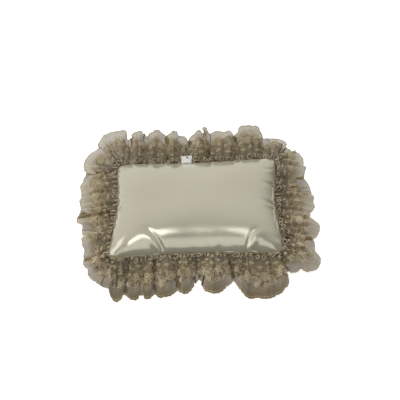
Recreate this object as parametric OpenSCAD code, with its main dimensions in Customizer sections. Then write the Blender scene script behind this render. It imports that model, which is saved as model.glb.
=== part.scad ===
// Ring bearer pillow: two satin panels over a fibre fill, a gathered lace ruffle in the seam,
// a folded label and, on the underside, a ribbon bow for the rings. Millimetres, +Z up.
// X runs along the pillow's long side, -Y is the near side, Z = 0 is the flat belly it rests on.

/* [Cushion] */
// Length of the cushion from seam to seam
cushion_l = 250; // [230:1:280]
// Width of the cushion from seam to seam
cushion_w = 175; // [160:1:200]
// Thickness of the filled cushion
cushion_h = 50; // [44:1:56]
// Radius of the seam line at the corners
corner_r = 9; // [6:1:14]
// How far the middle of a long side is pulled in
pull_long = 3; // [0:0.5:6]
// How far the middle of a short side is pulled in
pull_short = 5; // [0:0.5:8]
// Thickness of a satin panel with its backing
panel_t = 1.5; // [1.2:0.1:2]
// Inset at which the belly has become flat
belly_inset = 34; // [28:1:40]

/* [Lace] */
// Width of the lace from the seam to its scalloped edge
lace_w = 67; // [60:1:72]
// Thickness of the lace
lace_t = 0.9; // [0.6:0.1:1.2]
// Thickness of the tape that binds the gathered edge
tape_t = 0.8; // [0.6:0.1:1]
// How much of the tape lies inside the seam
tape_in = 8; // [6:0.5:9]
// How much of the tape shows outside the seam
tape_out = 2; // [1.5:0.1:2.5]

/* [Label] */
// Width of the folded label along the seam
label_w = 17; // [12:0.5:20]
// Distance that the label stands out of the seam
label_l = 14; // [10:0.5:15]
// Middle of the label, from the middle of the long side
label_x = -15; // [-18:0.5:-12]

/* [Ribbons] */
// Width of the satin ribbon
ribbon_w = 10; // [8:0.5:12]
// Thickness of the satin ribbon
ribbon_t = 0.4; // [0.3:0.1:0.4]
// Length of each loop of the bow
loop_l = 44; // [36:1:50]
// Length of each tail of the bow
tail_l = 66; // [50:1:70]
// Radius of the knot
knot_r = 6; // [5:0.5:6.5]

/* [Hidden] */

quarter = PI / 2;
seam_z = cushion_h / 2;
upper_rim = seam_z + tape_t / 2;
lower_rim = seam_z - tape_t / 2;
fill_gap = 0.2;
fill_inset = 10;
ruffle_gap = 0.1;
nominal_reach = 56;
// How far a lobe of the lace bows up, and how far a fold between lobes sags
bow_share = 0.6;
sag_share = 0.3;

// Insets of the rings that shape a panel, from the seam inwards
CROWN_INSETS = [0, 2, 6, 12, 20, 32, 48, 68];
BELLY_INSETS = [0, 2, 6, 12, 21, belly_inset];
// Inset at which the crown has become flat
crown_inset = 76;
// Half of the straight that a ring's short side keeps at least
least_side = 2;
// Steps along a long side, a corner and a short side of a panel's rings
PANEL_STEPS = [10, 5, 8];
ruffle_steps = 232;
ruffle_rows = 4;

// The lace's free edge, anticlockwise from the near side's left end: place along the edge,
// reach from the seam, height above the table, and 1 for a lobe that bows up or -1 for a fold
EDGE = [
    [4, 60, 1, 1], [13, 42, 3, -1], [28, 59, 1, 1], [40, 51, 3, -1], [47, 58, 2, 1],
    [58, 47, 4, -1], [67, 59, 3, 1], [91, 43, 4, -1], [100, 60, 12, 1], [119, 27, 4, -1],
    [140, 61, 14, 1], [171, 27, 4, -1], [195, 62, 2, 1], [216, 62, 2, 1], [241, 52, 12, 1],
    [256, 30, 16, -1], [285, 38, 14, 1], [317, 56, 5, 1], [340, 49, 8, 1], [353, 45, 20, -1],
    [368, 60, 12, 1], [388, 45, 22, -1], [427, 61, 10, 1], [441, 56, 12, -1], [456, 43, 24, -1],
    [474, 46, 18, 1], [523, 48, 12, 1], [552, 49, 9, -1], [572, 55, 12, 1], [602, 50, 20, -1],
    [615, 63, 41, 1], [632, 62, 40, 1], [645, 50, 26, -1], [657, 54, 36, 1], [680, 60, 35, 1],
    [690, 59, 24, -1], [695, 64, 42, 1], [699, 59, 24, -1], [705, 62, 39, 1], [712, 62, 27, 0],
    [719, 60, 13, -1], [728, 60, 12, -1], [736, 62, 24, 0], [748, 60, 40, 1], [758, 58, 22, -1],
    [773, 62, 40, 1], [787, 60, 25, -1], [801, 60, 39, 1], [819, 58, 24, -1], [831, 63, 41, 1],
    [856, 65, 39, 1], [875, 59, 24, 0], [891, 65, 20, 1], [904, 65, 15, 1], [927, 53, 18, -1],
    [948, 62, 12, 1], [984, 63, 12, 1], [1003, 58, 18, -1], [1012, 65, 11, 1],
    [1033, 51, 18, -1], [1055, 45, 18, 1], [1084, 40, 14, -1], [1127, 40, 24, 1],
    [1162, 45, 18, 0], [1178, 46, 14, 1]];

// Stitch sizes: length, width, height, and the pitch of each row
stitch = [3, 0.6, 0.4];
seam_pitch = 5;
seam_in = 4;
gather_pitch = 6;
slip_pitch = 4;
gap_length = 64;
join_place = 1012;
bead_r = 0.5;

// The label's hinge, just outside the seam and above the tape
label_leaf = 0.3;
label_fold_r = 0.45;
label_y = cushion_w / 2 - pull_long + 0.6;
label_z = upper_rim + 1.1;

// The bow: angles of its loops and tails, and the dimple that its knot sits in
loop_angle = 14;
tail_angle = 38;
knot_h = 4;
cup_wall = 1.6;
cup_r = knot_r + 0.3 + cup_wall;
cup_h = knot_h + 0.4 + cup_wall;
recess_gap = 0.2;
tack_r = 1;

// Lengths of the eight stretches of an outline whose corners have radius r
function stretches(r) =
    let(l = cushion_l - 2 * corner_r, w = cushion_w - 2 * corner_r, c = quarter * r)
    [l, c, w, c, l, c, w, c];

function total(list, k = 0) = k == len(list) ? 0 : list[k] + total(list, k + 1);

// Distance along an outline turned into a station: the stretch's number plus the share of it passed
function station(distance, r, k = 0) =
    let(length = stretches(r)[k])
    distance <= length || k == 7 ? k + distance / length : station(distance - length, r, k + 1);

// How far a side is pulled in at a share f of its length
function pull(amount, f, grow) = amount * pow(sin(180 * f), 2) * max(0, 1 + min(0, grow) / 40);

// Point on the outline that lies grow outside the seam, with corner radius r
function outline(st, grow, r) =
    let(k = floor(st) % 8,
        f = st - floor(st),
        x = cushion_l / 2 + grow - r,
        y = cushion_w / 2 + grow - r,
        s = r * sin(90 * f),
        c = r * cos(90 * f),
        dl = pull(pull_long, f, grow),
        ds = pull(pull_short, f, grow))
    k == 0 ? [x * (2 * f - 1), -y - r + dl] :
    k == 1 ? [x + s, -y - c] :
    k == 2 ? [x + r - ds, y * (2 * f - 1)] :
    k == 3 ? [x + c, y + s] :
    k == 4 ? [x * (1 - 2 * f), y + r - dl] :
    k == 5 ? [-x - s, y + c] :
    k == 6 ? [-x - r + ds, y * (1 - 2 * f)] :
    [-x - c, -y - s];

// Outline a fixed distance outside the seam, and one inside it whose corners grow rounder
function outside(st, grow) = outline(st, grow, corner_r + grow);
function inside(st, inset) =
    outline(st, -inset, min(corner_r + inset / 2, cushion_w / 2 - inset - least_side));

// Stations of a panel's rings
PANEL_STATIONS = [for (k = [0:7])
    let(n = PANEL_STEPS[k % 4 == 0 ? 0 : k % 2 == 1 ? 1 : 2])
    for (j = [0:n - 1]) k + j / n];

function ring(inset, z) = [for (st = PANEL_STATIONS) let(p = inside(st, inset)) [p[0], p[1], z]];

// Share of the full height at an inset d from the seam, full at inset flat
function swell(d, flat) = pow(1 - pow(1 - min(d, flat) / flat, 2.4), 0.6);

function crown_z(d) = upper_rim + (cushion_h - upper_rim) * swell(d, crown_inset);
function belly_z(d) = lower_rim * (1 - swell(d, belly_inset));

// Closed skin over a stack of rings, fanned flat at both ends; the first ring faces up
module skin(rings) {
    n = len(rings[0]);
    m = len(rings);
    poles = [[0, 0, rings[0][0][2]], [0, 0, rings[m - 1][0][2]]];
    sides = [for (k = [0:m - 2]) for (i = [0:n - 1])
        let(a = k * n + i, b = k * n + (i + 1) % n)
        each [[a, b, b + n], [a, b + n, a + n]]];
    top = [for (i = [0:n - 1]) [(i + 1) % n, i, m * n]];
    bottom = [for (i = [0:n - 1]) [(m - 1) * n + i, (m - 1) * n + (i + 1) % n, m * n + 1]];
    polyhedron(points = concat([for (r = rings) each r], poles), faces = concat(top, bottom, sides));
}

// Closed skin over equal cross-sections that follow each other round a loop. The second half of
// each cross-section is split along the other diagonal, so both sides of a thin sheet match
module hoop(sections) {
    n = len(sections);
    m = len(sections[0]);
    faces = [for (i = [0:n - 1]) for (j = [0:m - 1])
        let(a = i * m + j,
            b = i * m + (j + 1) % m,
            c = ((i + 1) % n) * m + (j + 1) % m,
            d = ((i + 1) % n) * m + j)
        each j < m / 2 ? [[a, b, c], [a, c, d]] : [[a, b, d], [b, c, d]]];
    polyhedron(points = [for (s = sections) each s], faces = faces);
}

function reversed(list) = [for (k = [len(list) - 1:-1:0]) list[k]];

module back_panel() {
    outer = [for (d = CROWN_INSETS) ring(d, crown_z(d))];
    inner = [for (d = CROWN_INSETS)
        ring(d + panel_t, d == 0 ? upper_rim : crown_z(d) - panel_t)];
    color("#dcd6c1") skin(concat(reversed(outer), inner));
}

module front_panel() {
    outer = [for (d = BELLY_INSETS) ring(d, belly_z(d))];
    inner = [for (d = BELLY_INSETS)
        ring(d + panel_t, d == 0 ? lower_rim : belly_z(d) + panel_t)];
    color("#d6cfb8") difference() {
        union() {
            skin(concat(reversed(inner), outer));
            cylinder(r = cup_r, h = cup_h, $fn = 48);
        }
        translate([0, 0, -1]) cylinder(r = knot_r + 0.3, h = knot_h + 1.4, $fn = 48);
        translate([0, 0, knot_h]) cylinder(r = tack_r + 0.1, h = 2 * cup_wall + 1, $fn = 24);
        for (side = [-1, 1]) ribbon_recess(side);
    }
}

module fibre_fill() {
    shift = panel_t + fill_gap;
    upper = [for (d = CROWN_INSETS) if (d > fill_inset) ring(d + shift, crown_z(d) - shift)];
    lower = [for (d = BELLY_INSETS) if (d > fill_inset) ring(d + shift, belly_z(d) + shift)];
    color("#f3f1ea") difference() {
        skin(concat(reversed(upper), lower));
        cylinder(r = cup_r + 0.2, h = cup_h + 1, $fn = 48);
    }
}

// Flat loop between two outlines, one outside the seam and one inside it
module seam_band(out, in) {
    difference() {
        polygon([for (st = PANEL_STATIONS) outside(st, out)]);
        polygon([for (st = PANEL_STATIONS) inside(st, in)]);
    }
}

module heading_tape() {
    color("#8f8064")
        translate([0, 0, lower_rim]) linear_extrude(tape_t) seam_band(tape_out, tape_in);
}

// Reach, height and bow of the lace's edge at a distance along it, eased from one row of EDGE
// to the next
function edge_at(distance) =
    let(whole = total(stretches(corner_r + nominal_reach)),
        turn = [whole, 0, 0, 0],
        rows = concat([EDGE[len(EDGE) - 1] - turn], EDGE, [EDGE[0] + turn]),
        k = max([for (j = [0:len(rows) - 2]) if (rows[j][0] <= distance) j]),
        share = (distance - rows[k][0]) / (rows[k + 1][0] - rows[k][0]),
        ease = (1 - cos(180 * share)) / 2)
    [for (c = [1, 2, 3]) rows[k][c] + (rows[k + 1][c] - rows[k][c]) * ease];

// Point of the lace's middle surface: v is 0 at the tape and 1 at the free edge
function lace_point(distance, v) =
    let(st = station(distance, corner_r + nominal_reach),
        root = outside(st, tape_out + ruffle_gap),
        line = outside(st, nominal_reach) - root,
        edge = edge_at(distance),
        reach = edge[0] - tape_out - ruffle_gap,
        drop = edge[1] - seam_z,
        slack = max(0, lace_w - sqrt(reach * reach + drop * drop)),
        bow = edge[2] * (edge[2] > 0 ? bow_share : sag_share),
        puff = bow * sqrt(0.375 * reach * slack) * sin(180 * v),
        p = root + line / norm(line) * reach * v)
    [p[0], p[1], seam_z + drop * v + puff];

module lace_ruffle() {
    step = total(stretches(corner_r + nominal_reach)) / ruffle_steps;
    half = [0, 0, lace_t / 2];
    sections = [for (i = [0:ruffle_steps - 1])
        let(row = [for (j = [0:ruffle_rows]) lace_point(i * step, j / ruffle_rows)])
        concat([for (p = row) p + half], [for (p = reversed(row)) p - half])];
    color("#9a8a6e") hoop(reversed(sections));
}

// Row of stitches along an outline, from one distance to another, on a surface at height z
module stitch_row(grow, z, pitch, from, to) {
    r = corner_r + grow;
    count = floor((to - from) / pitch);
    for (i = [0:count - 1]) {
        middle = outline(station(from + (i + 0.5) * pitch, r), grow, r);
        ahead = outline(station(from + (i + 0.5) * pitch + 0.1, r), grow, r);
        angle = atan2(ahead[1] - middle[1], ahead[0] - middle[0]);
        translate([middle[0], middle[1], z])
            rotate([0, 0, angle])
                translate([-stitch[0] / 2, -stitch[1] / 2, 0]) cube(stitch);
    }
}

module gathering_stitches() {
    color("#a89a7e") for (grow = [-6, -4.5])
        stitch_row(grow, lower_rim - stitch[2], gather_pitch, 0, total(stretches(corner_r + grow)));
}

module seam_stitching() {
    color("#d8d2bd")
        stitch_row(-seam_in, upper_rim, seam_pitch, 0, total(stretches(corner_r - seam_in)));
}

// Hand stitches that close the turning gap in the middle of the left side
module closing_stitches() {
    grow = 0.5;
    lengths = stretches(corner_r + grow);
    middle = total([for (k = [0:5]) lengths[k]]) + lengths[6] / 2;
    color("#e4dfcf")
        stitch_row(grow, upper_rim, slip_pitch, middle - gap_length / 2, middle + gap_length / 2);
}

// Beads of thread across the lace where its two ends are joined
module lace_join_stitches() {
    lift = [0, 0, lace_t / 2 + bead_r + 0.2];
    color("#a89a7e") for (v = [0.08:0.12:0.92])
        translate(lace_point(join_place, v) + lift) sphere(r = bead_r, $fn = 16);
}

module care_label() {
    inner_r = label_fold_r - label_leaf;
    color("#f0efe9")
        translate([label_x + label_w / 2, label_y, label_z])
            rotate([90, 0, -90]) mirror([1, 0, 0]) linear_extrude(label_w) difference() {
                union() {
                    translate([0, -label_fold_r]) square([label_l - label_fold_r, 2 * label_fold_r]);
                    translate([label_l - label_fold_r, 0]) circle(r = label_fold_r, $fn = 24);
                }
                translate([-1, -inner_r]) square([label_l - label_fold_r + 1, 2 * inner_r]);
                translate([label_l - label_fold_r, 0]) circle(r = inner_r, $fn = 24);
            }
}

// Two short stitches that hold the label to the tape
module label_stitches() {
    color("#f0efe9") for (side = [-1, 1])
        translate([label_x + side * label_w / 4 - stitch[0] / 2, label_y - 0.3, upper_rim])
            cube([stitch[0], stitch[1], 0.2]);
}

// Outline of one ribbon strip that leaves the knot at an angle, with a slanted end
module strip(angle, length, slant, gap) {
    rotate([0, 0, angle]) polygon([[0, -ribbon_w / 2 - gap], [length + gap, -ribbon_w / 2 - gap],
        [length - slant + gap, ribbon_w / 2 + gap], [0, ribbon_w / 2 + gap]]);
}

// One side of the bow: a loop of two layers and a tail of one; side is 1 for right, -1 for left
module bow_side(side, gap, deeper) {
    mirror([side < 0 ? 1 : 0, 0, 0]) {
        linear_extrude(2 * ribbon_t + deeper) strip(loop_angle, loop_l, 0, gap);
        linear_extrude(ribbon_t + deeper) strip(-tail_angle, tail_l, ribbon_w / 2, gap);
    }
}

module ribbon_recess(side) {
    translate([0, 0, -1]) bow_side(side, recess_gap, 1 + recess_gap / 2);
}

module ring_ribbon(side) {
    color("#e6e0cc") difference() {
        intersection() {
            bow_side(side, 0, 0);
            translate([side > 0 ? 0 : -cushion_l, -cushion_w / 2, 0])
                cube([cushion_l, cushion_w, ribbon_w]);
        }
        translate([0, 0, -1]) cylinder(r = knot_r, h = knot_h + 2, $fn = 48);
    }
}

module ring_ribbon_1() {
    ring_ribbon(-1);
}

module ring_ribbon_2() {
    ring_ribbon(1);
}

module bow_knot() {
    color("#e6e0cc") cylinder(r = knot_r, h = knot_h, $fn = 48);
}

module ribbon_tack() {
    color("#d8d2bd") translate([0, 0, knot_h]) cylinder(r = tack_r, h = cup_wall + 0.8, $fn = 24);
}

back_panel();
front_panel();
fibre_fill();
heading_tape();
lace_ruffle();
gathering_stitches();
seam_stitching();
closing_stitches();
lace_join_stitches();
care_label();
label_stitches();
ring_ribbon_1();
ring_ribbon_2();
bow_knot();
ribbon_tack();
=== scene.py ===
import bpy
import numpy as np
from mathutils import Matrix, Vector


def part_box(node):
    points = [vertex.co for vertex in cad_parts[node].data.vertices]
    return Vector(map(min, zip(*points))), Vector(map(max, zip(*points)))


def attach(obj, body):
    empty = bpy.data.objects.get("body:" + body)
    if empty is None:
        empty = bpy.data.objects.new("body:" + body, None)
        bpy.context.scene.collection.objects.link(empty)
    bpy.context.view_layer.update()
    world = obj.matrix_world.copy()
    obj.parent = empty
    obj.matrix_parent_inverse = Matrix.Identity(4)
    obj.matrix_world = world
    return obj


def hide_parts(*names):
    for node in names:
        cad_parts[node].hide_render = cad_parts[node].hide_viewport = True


# Ring bearer pillow, shown with its plain satin back upward. Metres, +Z up, -Y is the near side.

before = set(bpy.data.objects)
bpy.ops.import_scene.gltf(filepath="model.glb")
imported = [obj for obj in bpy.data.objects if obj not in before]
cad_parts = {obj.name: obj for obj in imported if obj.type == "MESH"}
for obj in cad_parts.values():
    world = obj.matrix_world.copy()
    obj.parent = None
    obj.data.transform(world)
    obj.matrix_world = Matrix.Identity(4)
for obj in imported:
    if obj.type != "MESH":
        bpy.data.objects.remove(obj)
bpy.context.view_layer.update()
print("frame loaded with", len(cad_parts), "nodes")

_, backHigh = (np.array(c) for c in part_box("back_panel"))
tapeLow, tapeHigh = (np.array(c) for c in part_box("heading_tape"))
labelLow, labelHigh = (np.array(c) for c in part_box("care_label"))
knotLow, knotHigh = (np.array(c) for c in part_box("bow_knot"))
halfLong, halfShort = backHigh[0], backHigh[1]
crownZ = backHigh[2]
seamZ = (tapeLow[2] + tapeHigh[2]) / 2
tapeHalf = (tapeHigh[2] - tapeLow[2]) / 2

seam = {"cornerRadius": 0.009, "pullLong": 0.003, "pullShort": 0.005, "fadeInset": 0.04}


def unit(vectors):
    # each vector divided by its own length
    return vectors / np.maximum(np.linalg.norm(vectors, axis=-1, keepdims=True), 1e-12)


def easeStep(low, high, x):
    # 0 below low, 1 above high, and 3t^2 - 2t^3 between
    t = np.clip((x - low) / (high - low), 0, 1)
    return t * t * (3 - 2 * t)


def hump(x, rise, full, fall, end):
    # 0 up to rise, eased to 1 at full, 1 up to fall and eased back to 0 at end
    return easeStep(rise, full, x) * (1 - easeStep(fall, end, x))


def stretchEnds(radius):
    # distances at which the outline's eight stretches end: long side, corner, short side, corner, twice
    corner = np.full(4, radius * np.pi / 2)
    side = np.array([2 * (halfLong - seam["cornerRadius"]), 2 * (halfShort - seam["cornerRadius"])] * 2)
    return np.concatenate([[0], np.cumsum(np.stack([side, corner], axis=1).ravel())])


def station(distance, radius):
    # distance along the outline turned into the stretch's number plus the share of it passed
    ends = stretchEnds(radius)
    return np.interp(np.mod(distance, ends[-1]), ends, np.arange(9))


def outline(at, grow, radius):
    # point of the rounded rectangle that lies grow outside the seam; straight sides are pulled in by a sine squared
    k = np.floor(at).astype(int) % 8
    f = at - np.floor(at)
    x = halfLong + grow - radius
    y = halfShort + grow - radius
    s, c = radius * np.sin(f * np.pi / 2), radius * np.cos(f * np.pi / 2)
    fade = np.clip(1 + np.minimum(0, grow) / seam["fadeInset"], 0, None)
    dl = seam["pullLong"] * np.sin(np.pi * f) ** 2 * fade
    ds = seam["pullShort"] * np.sin(np.pi * f) ** 2 * fade
    run = 2 * f - 1
    px = np.choose(k, [x * run, x + s, x + radius - ds, x + c, -x * run, -x - s, -x - radius + ds, -x - c])
    py = np.choose(k, [-y - radius + dl, -y - c, y * run, y + s, y + radius - dl, y + c, -y * run, -y - s])
    return np.stack([px, py], axis=-1)


def gridFaces(columns, rows, closed=False):
    # quads of a columns by rows grid of points; faces look along column direction crossed with row direction
    i, j = np.meshgrid(np.arange(columns if closed else columns - 1), np.arange(rows - 1), indexing="ij")
    n = (i + 1) % columns
    return np.stack([i * rows + j, n * rows + j, n * rows + j + 1, i * rows + j + 1], axis=-1).reshape(-1, 4)


def gridNormals(points):
    # unit normals of a grid surface: slope along the columns crossed with slope along the rows
    return unit(np.cross(np.gradient(points, axis=0), np.gradient(points, axis=1)))


def finer(points, times):
    # a grid with times as many cells each way, by Catmull-Rom curves along each axis in turn
    for _ in range(2):
        count = len(points)
        t = np.linspace(0, count - 1, (count - 1) * times + 1)
        i = np.minimum(t.astype(int), count - 2)
        f = (t - i)[:, None, None]
        a, b = points[np.maximum(i - 1, 0)], points[i]
        c, d = points[i + 1], points[np.minimum(i + 2, count - 1)]
        points = b + 0.5 * f * (c - a + f * (2 * a - 5 * b + 4 * c - d + f * (3 * (b - c) + d - a)))
        points = points.swapaxes(0, 1)
    return points


def putMesh(name, points, faces, uv=None, smooth=True):
    # a new object at the origin whose mesh holds the points, the faces and, where given, a map of the surface
    mesh = bpy.data.meshes.new(name)
    mesh.from_pydata(np.asarray(points).reshape(-1, 3), [], faces)
    mesh.polygons.foreach_set("use_smooth", np.full(len(mesh.polygons), smooth))
    if uv is not None:
        corners = np.empty(len(mesh.loops), dtype=np.int32)
        mesh.loops.foreach_get("vertex_index", corners)
        layer = mesh.uv_layers.new(name="clothMap")
        layer.data.foreach_set("uv", np.asarray(uv, dtype=np.float32).reshape(-1, 2)[corners].ravel())
    mesh.update()
    piece = bpy.data.objects.new(name, mesh)
    bpy.context.scene.collection.objects.link(piece)
    return piece


def cords(paths, ups, radius, closed, sides=4):
    # round threads, one along each path of points: a ring of sides points stands across the path at each of its
    # points, and a thread that isn't closed is capped at both ends
    paths, ups = np.asarray(paths), np.asarray(ups)
    count, steps = paths.shape[:2]
    if closed:
        along = np.roll(paths, -1, axis=1) - np.roll(paths, 1, axis=1)
    else:
        along = np.gradient(paths, axis=1)
    along = unit(along)
    across = unit(np.cross(along, ups))
    over = np.cross(across, along)
    angle = 2 * np.pi * np.arange(sides) / sides + np.pi / sides
    radius = np.broadcast_to(np.asarray(radius, dtype=float), (count, steps))[..., None, None]
    rings = paths[:, :, None] + radius * (
        across[:, :, None] * np.cos(angle)[:, None] + over[:, :, None] * np.sin(angle)[:, None])
    spans = np.arange(steps if closed else steps - 1)
    i, j, k = np.meshgrid(np.arange(count), spans, np.arange(sides), indexing="ij")
    base, onward, turn = i * steps * sides, (j + 1) % steps, (k + 1) % sides
    walls = np.stack([base + j * sides + k, base + j * sides + turn, base + onward * sides + turn,
                      base + onward * sides + k], axis=-1).reshape(-1, 4)
    if not closed and sides == 4:
        first = np.arange(count)[:, None] * steps * sides + np.arange(sides)[::-1]
        last = np.arange(count)[:, None] * steps * sides + (steps - 1) * sides + np.arange(sides)
        walls = np.concatenate([walls, first, last])
    return rings.reshape(-1, 3), walls[:, ::-1]


def joined(parts):
    # several sets of points and faces as one, with each set's faces counted on from the sets before it
    counts = np.cumsum([0] + [len(points) for points, _ in parts[:-1]])
    return (np.concatenate([points for points, _ in parts]),
            np.concatenate([faces + start for (_, faces), start in zip(parts, counts)]))


def wander(distance, waves, seed, loop=None):
    # smooth seeded wandering between about -1 and 1: sines whose lengths run evenly from the longest to the shortest
    rng = np.random.default_rng(seed)
    lengths = np.linspace(waves[0], waves[1], 6)
    if loop:
        lengths = loop / np.round(loop / lengths)
    shifts = rng.uniform(0, 2 * np.pi, 6)
    strengths = rng.uniform(0.6, 1, 6)
    turns = np.asarray(distance)[..., None] / lengths * 2 * np.pi + shifts
    return (np.sin(turns) * strengths).sum(axis=-1) / 2.6


def plug(tree, socket, value):
    # links the socket to another node's output, or gives it a fixed value
    if isinstance(value, bpy.types.NodeSocket):
        tree.links.new(value, socket)
    else:
        socket.default_value = value


def addNode(tree, kind, inputs=None, **options):
    # a shader node with its options set and its inputs plugged
    made = tree.nodes.new("ShaderNode" + kind)
    for key, value in options.items():
        setattr(made, key, value)
    for key, value in (inputs or {}).items():
        plug(tree, made.inputs[key], value)
    return made


def newMaterial(name, shaderValues):
    # a material whose Principled shader holds the fixed values
    material = bpy.data.materials.new(name)
    material.use_nodes = True
    shader = material.node_tree.nodes["Principled BSDF"]
    for key, value in shaderValues.items():
        shader.inputs[key].default_value = value
    return material, material.node_tree, shader


def blendColours(tree, share, first, second):
    # the first colour where share is 0 and the second where it is 1
    mix = addNode(tree, "Mix", data_type="RGBA")
    for index, value in ((0, share), (6, first), (7, second)):
        plug(tree, mix.inputs[index], value)
    return mix.outputs[2]


def mathNode(tree, operation, *values):
    # one sum, product or comparison of the values
    return addNode(tree, "Math", dict(enumerate(values)), operation=operation).outputs[0]


def rangeNode(tree, value, low, high, outLow=0.0, outHigh=1.0, **options):
    # outLow where the value is low or less, outHigh where it is high or more, and in proportion between
    return addNode(tree, "MapRange", {0: value, 1: low, 2: high, 3: outLow, 4: outHigh}, **options).outputs[0]


def within(tree, value, middle, half):
    # 1 where the value is less than half away from the middle, otherwise 0
    away = mathNode(tree, "ABSOLUTE", mathNode(tree, "SUBTRACT", value, float(middle)))
    return mathNode(tree, "LESS_THAN", away, half)


def dress(tree, shader, colour, height, strength, depth):
    # gives the shader its colour, and a bump whose depth in metres follows the height
    bump = addNode(tree, "Bump", {"Height": height, "Strength": strength, "Distance": depth})
    tree.links.new(colour, shader.inputs["Base Color"])
    tree.links.new(bump.outputs[0], shader.inputs["Normal"])


satinLook = {"light": (0.52, 0.495, 0.385, 1), "dark": (0.48, 0.455, 0.35, 1), "roughness": 0.15}


def satinMaterial(name, look, patchScale):
    # woven satin: fine floats along X give a stretched bump, and cloudy noise shifts the colour a little
    material, tree, shader = newMaterial(name, {"Roughness": look["roughness"], "IOR": 1.5,
                                                "Metallic": 0.35, "Sheen Weight": 0.08, "Sheen Roughness": 0.4})
    place = addNode(tree, "TexCoord").outputs["Object"]
    cloud = addNode(tree, "TexNoise", {"Vector": place, "Scale": patchScale, "Detail": 3.0})
    colour = blendColours(tree, rangeNode(tree, cloud.outputs[0], 0.35, 0.65), look["dark"], look["light"])
    stretched = addNode(tree, "Mapping", {"Vector": place, "Scale": (260.0, 3200.0, 3200.0)})
    floats = addNode(tree, "TexNoise", {"Vector": stretched.outputs[0], "Scale": 1.0, "Detail": 2.0})
    dress(tree, shader, colour, floats.outputs[0], 0.05, 0.0001)
    rough = rangeNode(tree, cloud.outputs[0], 0.3, 0.7, look["roughness"] - 0.02, look["roughness"] + 0.02)
    tree.links.new(rough, shader.inputs["Roughness"])
    return material


def threadMaterial(name, light, dark, twist=1400.0, roughness=0.55):
    # spun thread: bands of a wave texture on object coordinates stand for the ply, noise for the fuzz
    material, tree, shader = newMaterial(name, {"Roughness": roughness, "Sheen Weight": 0.25})
    place = addNode(tree, "TexCoord").outputs["Object"]
    ply = addNode(tree, "TexWave", {"Vector": place, "Scale": twist, "Distortion": 2.0, "Detail": 1.0},
                  bands_direction="DIAGONAL")
    fuzz = addNode(tree, "TexNoise", {"Vector": place, "Scale": 900.0, "Detail": 2.0})
    share = mathNode(tree, "MULTIPLY", ply.outputs[1], fuzz.outputs[0])
    dress(tree, shader, blendColours(tree, rangeNode(tree, share, 0.1, 0.6), dark, light), share, 0.4, 0.0002)
    return material


cushion = {
    "columns": 85, "rows": 61, "finer": 3, "satin": 0.0004, "wrap": 0.0003,
    # how far in from the seam the crown and the belly become flat, and the two powers of the swell
    "crownInset": (0.050, 0.078), "bellyInset": (0.034, 0.034), "fall": 2.4, "blunt": 0.6,
    "startFill": 0.95, "pressure": 3.5, "frames": 22, "spareCloth": 0.008, "soften": 75, "cap": 0.007,
    "cornerKeep": (0.008, 0.03), "bedDepth": 0.001, "bedSoft": 0.003, "knotRoom": 0.0006,
    # puckers: share on the far and near sides, height on long and short sides, and how fast they die out inwards
    "puckerFar": 0.6, "puckerNear": 0.25, "puckerLong": 0.0011, "puckerShort": 0.0006,
    "fadeLong": 0.009, "fadeShort": 0.008, "lump": 0.00016,
    # folds drawn up by the seam: start, end at the seam, width (negative turns the ridge over), depth, ridge and bend
    "folds": [((-75, -46), (-44, -84), 3.2, 1.8, 1.5, -3), ((93, -52), (74, -84), -3.2, 1.7, 1.5, 3),
              ((-6, -74), (4, -88), 4.0, 0.3, 0.3, 1), ((40, -74), (33, -88), -4.0, 0.4, 0.3, 1),
              ((96, 55), (123, 62), 2.6, 1.2, 1.0, 1), ((94, -3), (122, -9), 3.0, 1.5, 1.2, 1),
              ((100, 26), (122, 30), 2.6, 0.7, 0.5, 0), ((-97, -1), (-122, -8), -3.0, 1.2, 0.9, 1),
              ((-60, 62), (-66, 86), 3.4, 0.7, 0.5, 1), ((18, 66), (22, 86), 3.0, 0.7, 0.5, 1),
              ((64, 64), (70, 86), 3.2, 0.7, 0.5, -1)],
}
# the bow's angles in degrees; a ribbon starts inside the knot, and its loop's two layers lie about loopMiddle
bow = {"loopAngle": 14, "tailAngle": 38, "loop": 0.044, "tail": 0.066, "width": 0.010, "thickness": 0.00025,
       "start": 0.0056, "loopMiddle": 0.00043, "layer": 0.00022}


def plan(a, b):
    # a square's point on the cushion's plan: scaled to the seam, corners rounded by mapping a square onto a quarter
    # disc, sides pulled in by a sine squared
    x, y, r = a * halfLong, b * halfShort, seam["cornerRadius"]
    p = np.clip((np.abs(x) - halfLong + r) / r, 0, 1)
    q = np.clip((np.abs(y) - halfShort + r) / r, 0, 1)
    x = np.sign(x) * (np.minimum(np.abs(x), halfLong - r) + r * p * np.sqrt(1 - q * q / 2))
    y = np.sign(y) * (np.minimum(np.abs(y), halfShort - r) + r * q * np.sqrt(1 - p * p / 2))
    alongX = np.clip((x / (halfLong - r) + 1) / 2, 0, 1)
    alongY = np.clip((y / (halfShort - r) + 1) / 2, 0, 1)
    pulledY = y * (1 - seam["pullLong"] * np.sin(np.pi * alongX) ** 2 / halfShort)
    pulledX = x * (1 - seam["pullShort"] * np.sin(np.pi * alongY) ** 2 / halfLong)
    return pulledX, pulledY


def swell(a, b, inset):
    # share of the full height: each way 1 less a power of how far past the flat part, and a root of their product
    dx = np.clip((np.abs(a) * halfLong - halfLong + inset[0]) / inset[0], 0, 1)
    dy = np.clip((np.abs(b) * halfShort - halfShort + inset[1]) / inset[1], 0, 1)
    return ((1 - dx ** cushion["fall"]) * (1 - dy ** cushion["fall"])) ** cushion["blunt"]


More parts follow.
